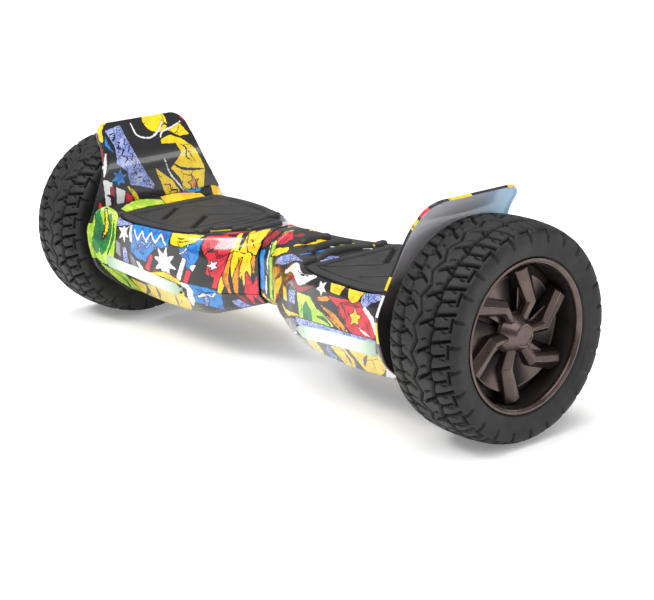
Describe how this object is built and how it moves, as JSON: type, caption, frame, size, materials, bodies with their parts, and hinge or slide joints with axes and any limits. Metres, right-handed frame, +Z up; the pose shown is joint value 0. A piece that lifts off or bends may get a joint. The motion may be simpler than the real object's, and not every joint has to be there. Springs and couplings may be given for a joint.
{
  "type": "self balancing hoverboard",
  "caption": "Two-wheeled self balancing hoverboard: two printed halves that twist about a central shaft, rubber foot pads, off-road tyres on hub motors, raised fenders and front lamps.",
  "frame": {"origin": "on the ground, under the middle of the board", "axes": "+X along the axle towards the right half, with the power button and the charging port, -Y to the front with the lamps, +Z up"},
  "size_m": [0.714, 0.216, 0.235],
  "materials": {
    "printed_shell": "multicolour printed, clear gloss",
    "pad_rubber": "moulded matte",
    "tyre_rubber": "off-road tread",
    "bronze_alloy": "bronze brown satin",
    "cast_alloy": "die cast",
    "steel": "zinc plated",
    "lamp_lens": "frosted, lit white",
    "circuit_board": "solder mask",
    "stator_steel": "laminated",
    "copper": "enamelled wire",
    "black_plastic": "moulded",
    "button_plastic": "polished",
    "socket_metal": "plated"
  },
  "bodies": {
    "right_half": {"top_shell_right": "printed_shell", "bottom_shell_right": "printed_shell", "fender_right": "printed_shell", "grip_ribs_right": "pad_rubber", "lamp_lens_right": "lamp_lens", "lamp_board_right": "circuit_board", "chassis_right": "cast_alloy", "axle_clamp_right": "cast_alloy", "clamp_bolts_right": "steel", "axle_right": "steel", "stator_right": "stator_steel", "windings_right": "copper", "gyro_board_right": "circuit_board", "foot_sensors_right": "black_plastic", "shell_screws_right": "steel", "centre_shaft": "steel", "shaft_circlip": "steel", "centre_collar": "printed_shell", "shaft_harness": "black_plastic", "main_board": "circuit_board", "power_switch": "black_plastic", "charge_socket": "socket_metal"},
    "left_half": {"top_shell_left": "printed_shell", "bottom_shell_left": "printed_shell", "fender_left": "printed_shell", "grip_ribs_left": "pad_rubber", "lamp_lens_left": "lamp_lens", "lamp_board_left": "circuit_board", "chassis_left": "cast_alloy", "axle_clamp_left": "cast_alloy", "clamp_bolts_left": "steel", "axle_left": "steel", "stator_left": "stator_steel", "windings_left": "copper", "gyro_board_left": "circuit_board", "foot_sensors_left": "black_plastic", "shell_screws_left": "steel", "shaft_bushes": "black_plastic", "battery_pack": "black_plastic"},
    "wheel_right": {"tyre_right": "tyre_rubber", "rim_right": "bronze_alloy", "hub_face_right": "bronze_alloy", "hub_cap_right": "bronze_alloy", "motor_cover_right": "cast_alloy", "cover_bolts_right": "steel", "magnet_ring_right": "steel", "wheel_bearings_right": "steel"},
    "wheel_left": {"tyre_left": "tyre_rubber", "rim_left": "bronze_alloy", "hub_face_left": "bronze_alloy", "hub_cap_left": "bronze_alloy", "motor_cover_left": "cast_alloy", "cover_bolts_left": "steel", "magnet_ring_left": "steel", "wheel_bearings_left": "steel"},
    "pad_right": {"foot_pad_right": "pad_rubber"},
    "pad_left": {"foot_pad_left": "pad_rubber"},
    "power_button": {"power_button": "button_plastic"},
    "charge_cap": {"charge_cap": "pad_rubber"}
  },
  "joints": [
    {"name": "middle_twist", "type": "hinge", "parent": "right_half", "child": "left_half", "pos_m": [0, 0, 0.108], "axis": [1, 0, 0], "range_deg": [-12, 12]},
    {"name": "wheel_right_spin", "type": "hinge", "parent": "right_half", "child": "wheel_right", "pos_m": [0.3105, 0, 0.108], "axis": [1, 0, 0], "continuous": true},
    {"name": "wheel_left_spin", "type": "hinge", "parent": "left_half", "child": "wheel_left", "pos_m": [-0.3105, 0, 0.108], "axis": [1, 0, 0], "continuous": true},
    {"name": "pad_right_press", "type": "slide", "parent": "right_half", "child": "pad_right", "axis": [0, 0, -1], "range_m": [0, 0.0015], "stiffness_N_per_m": 20000},
    {"name": "pad_left_press", "type": "slide", "parent": "left_half", "child": "pad_left", "axis": [0, 0, -1], "range_m": [0, 0.0015], "stiffness_N_per_m": 20000},
    {"name": "power_button_press", "type": "slide", "parent": "right_half", "child": "power_button", "axis": [0, -1, 0], "range_m": [0, 0.0015], "stiffness_N_per_m": 1000},
    {"name": "charge_cap_hinge", "type": "hinge", "parent": "right_half", "child": "charge_cap", "pos_m": [0.195, 0.08955, 0.1225], "axis": [1, 0, 0], "range_deg": [0, 110]}
  ]
}
